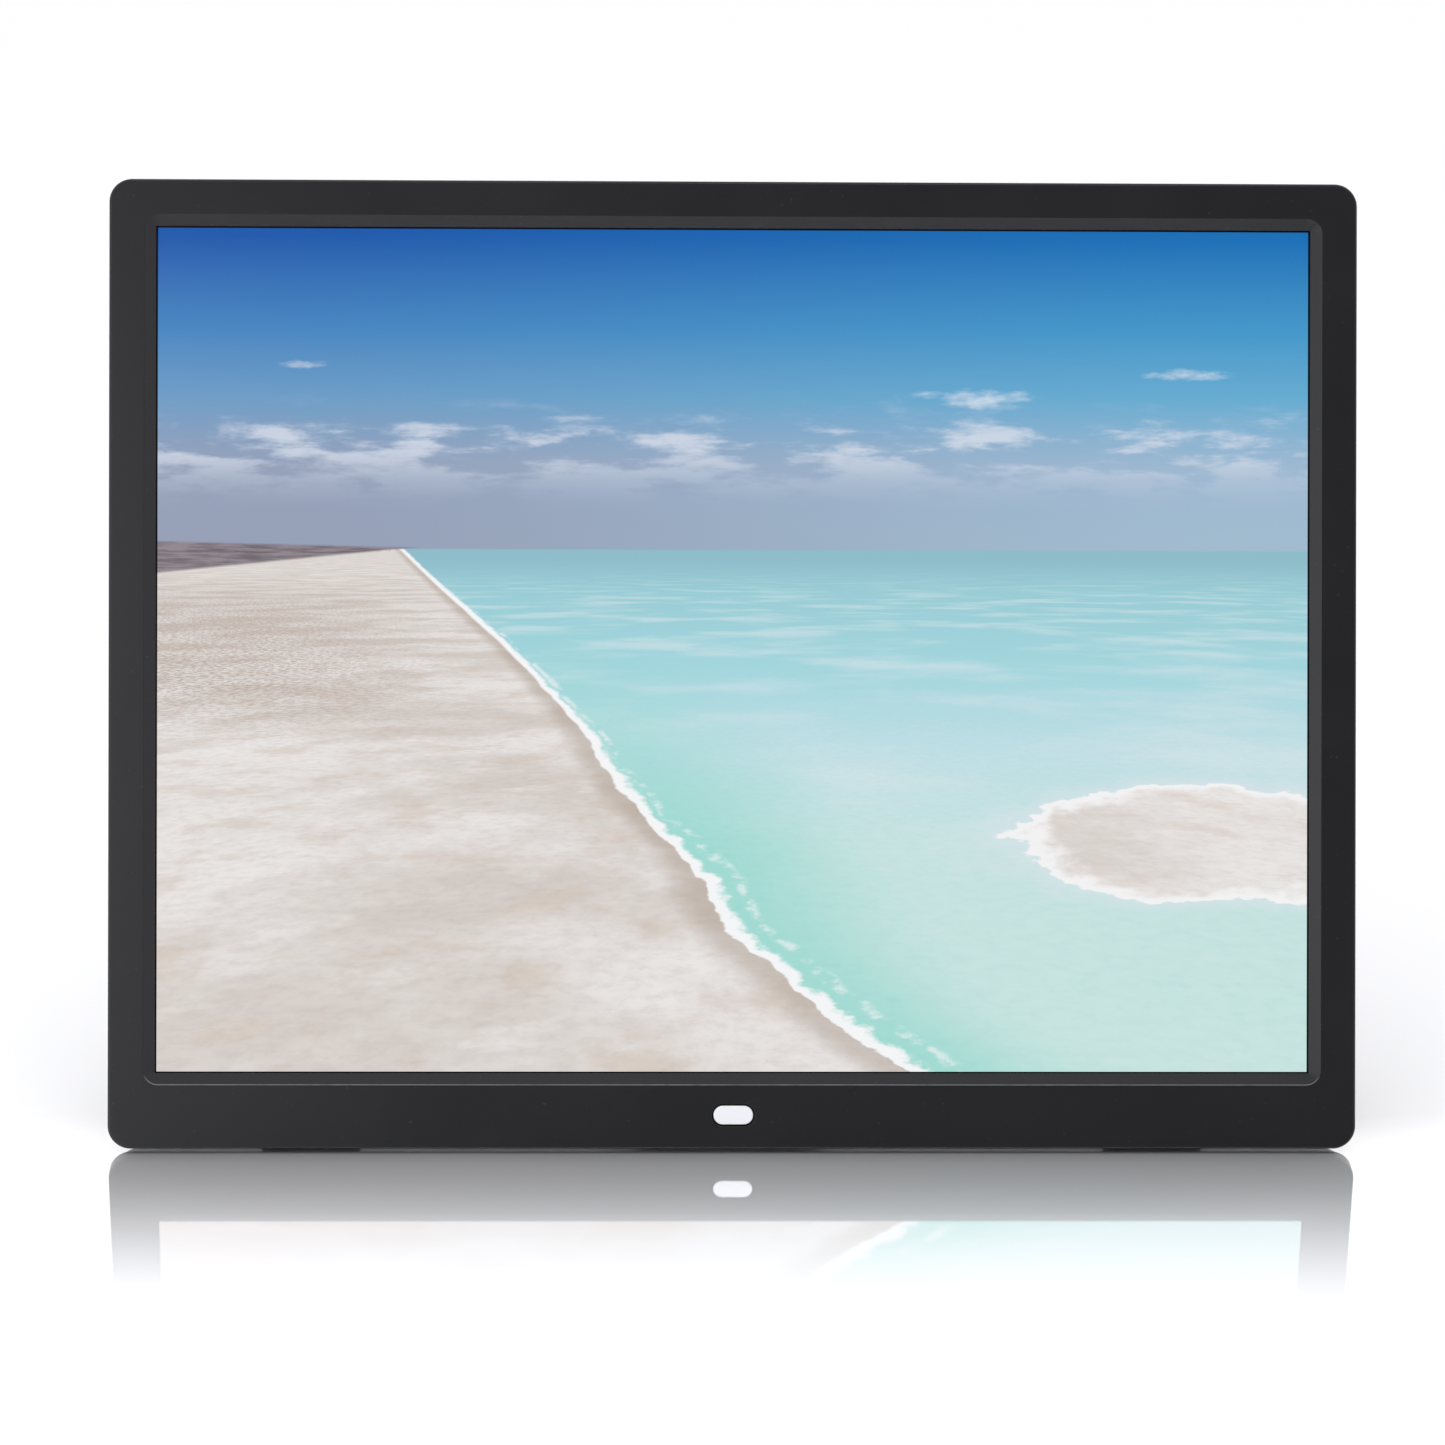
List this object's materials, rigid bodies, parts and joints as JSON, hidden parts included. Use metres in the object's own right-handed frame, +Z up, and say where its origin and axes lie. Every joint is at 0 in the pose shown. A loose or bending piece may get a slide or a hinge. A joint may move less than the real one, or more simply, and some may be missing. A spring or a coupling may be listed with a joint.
{
  "type": "digital photo frame",
  "caption": "Tabletop digital photo frame with a flat-bordered landscape screen, a fold-out rear leg, control keys on the back, a power switch and sockets in the sides.",
  "frame": {"origin": "centre of the bounding box footprint, on the table the frame stands on", "axes": "+Z up, the screen faces -Y and leans back 12 degrees, +X is the viewer's right"},
  "size_m": [0.3304, 0.0948, 0.2518],
  "materials": {
    "housing_plastic": "fine matte texture, near black",
    "key_plastic": "smooth satin black",
    "window_plastic": "translucent white, satin",
    "screen_glass": "anti-glare picture screen, lit from behind",
    "diffuser_sheet": "milky white film",
    "clear_acrylic": "polished clear acrylic",
    "circuit_board": "green solder mask",
    "chip_epoxy": "moulded black epoxy",
    "rubber": "soft matte black rubber",
    "ribbon": "amber polyimide film",
    "sheet_steel": "zinc-plated sheet",
    "screw_steel": "black oxide",
    "can_aluminium": "plain drawn can"
  },
  "bodies": {
    "housing": {"backlight_driver_board": "circuit_board", "base_foot_left": "rubber", "base_foot_right": "rubber", "board_carrier": "sheet_steel", "board_screw_1": "screw_steel", "board_screw_2": "screw_steel", "board_screw_3": "screw_steel", "board_screw_4": "screw_steel", "board_screw_5": "screw_steel", "board_screw_6": "screw_steel", "capacitor_1": "can_aluminium", "capacitor_2": "can_aluminium", "card_socket": "sheet_steel", "cover_screw_1": "screw_steel", "cover_screw_2": "screw_steel", "cover_screw_3": "screw_steel", "cover_screw_4": "screw_steel", "cover_screw_5": "screw_steel", "cover_screw_6": "screw_steel", "dc_jack": "chip_epoxy", "driver_transformer": "chip_epoxy", "earphone_jack": "chip_epoxy", "flash_chip": "chip_epoxy", "front_bezel": "housing_plastic", "ir_board": "circuit_board", "ir_receiver": "chip_epoxy", "ir_window": "window_plastic", "key_board": "circuit_board", "lcd_cell": "screen_glass", "led_bar": "diffuser_sheet", "light_guide": "clear_acrylic", "main_board": "circuit_board", "memory_chip": "chip_epoxy", "mini_usb_socket": "sheet_steel", "optical_sheets": "diffuser_sheet", "panel_back_tray": "sheet_steel", "panel_cable": "ribbon", "panel_front_frame": "sheet_steel", "power_inductor": "chip_epoxy", "power_switch_body": "sheet_steel", "processor": "chip_epoxy", "rear_cover": "housing_plastic", "speaker_left": "chip_epoxy", "speaker_right": "chip_epoxy", "stand_hinge_pin": "sheet_steel", "status_led": "window_plastic", "timing_board": "circuit_board", "usb_socket": "sheet_steel"},
    "stand": {"stand_leg": "housing_plastic", "stand_foot_pad": "rubber"},
    "power_switch": {"power_switch_knob": "key_plastic"},
    "exit_key": {"key_exit": "key_plastic"},
    "left_key": {"key_left": "key_plastic"},
    "up_key": {"key_up": "key_plastic"},
    "enter_key": {"key_enter": "key_plastic"},
    "down_key": {"key_down": "key_plastic"},
    "right_key": {"key_right": "key_plastic"},
    "menu_key": {"key_menu": "key_plastic"}
  },
  "joints": [
    {"name": "stand_hinge", "type": "hinge", "parent": "housing", "child": "stand", "pos_m": [0, 0.01021, 0.16512], "axis": [1, 0, 0], "range_deg": [-24, 0]},
    {"name": "power_switch_slide", "type": "slide", "parent": "housing", "child": "power_switch", "axis": [0, 0.2079, 0.9781], "range_m": [-0.0032, 0]},
    {"name": "exit_key_press", "type": "slide", "parent": "housing", "child": "exit_key", "axis": [0, -0.9781, 0.2079], "range_m": [0, 0.0006], "stiffness_N_per_m": 3000},
    {"name": "left_key_press", "type": "slide", "parent": "housing", "child": "left_key", "axis": [0, -0.9781, 0.2079], "range_m": [0, 0.0006], "stiffness_N_per_m": 3000},
    {"name": "up_key_press", "type": "slide", "parent": "housing", "child": "up_key", "axis": [0, -0.9781, 0.2079], "range_m": [0, 0.0006], "stiffness_N_per_m": 3000},
    {"name": "enter_key_press", "type": "slide", "parent": "housing", "child": "enter_key", "axis": [0, -0.9781, 0.2079], "range_m": [0, 0.0006], "stiffness_N_per_m": 3000},
    {"name": "down_key_press", "type": "slide", "parent": "housing", "child": "down_key", "axis": [0, -0.9781, 0.2079], "range_m": [0, 0.0006], "stiffness_N_per_m": 3000},
    {"name": "right_key_press", "type": "slide", "parent": "housing", "child": "right_key", "axis": [0, -0.9781, 0.2079], "range_m": [0, 0.0006], "stiffness_N_per_m": 3000},
    {"name": "menu_key_press", "type": "slide", "parent": "housing", "child": "menu_key", "axis": [0, -0.9781, 0.2079], "range_m": [0, 0.0006], "stiffness_N_per_m": 3000}
  ]
}
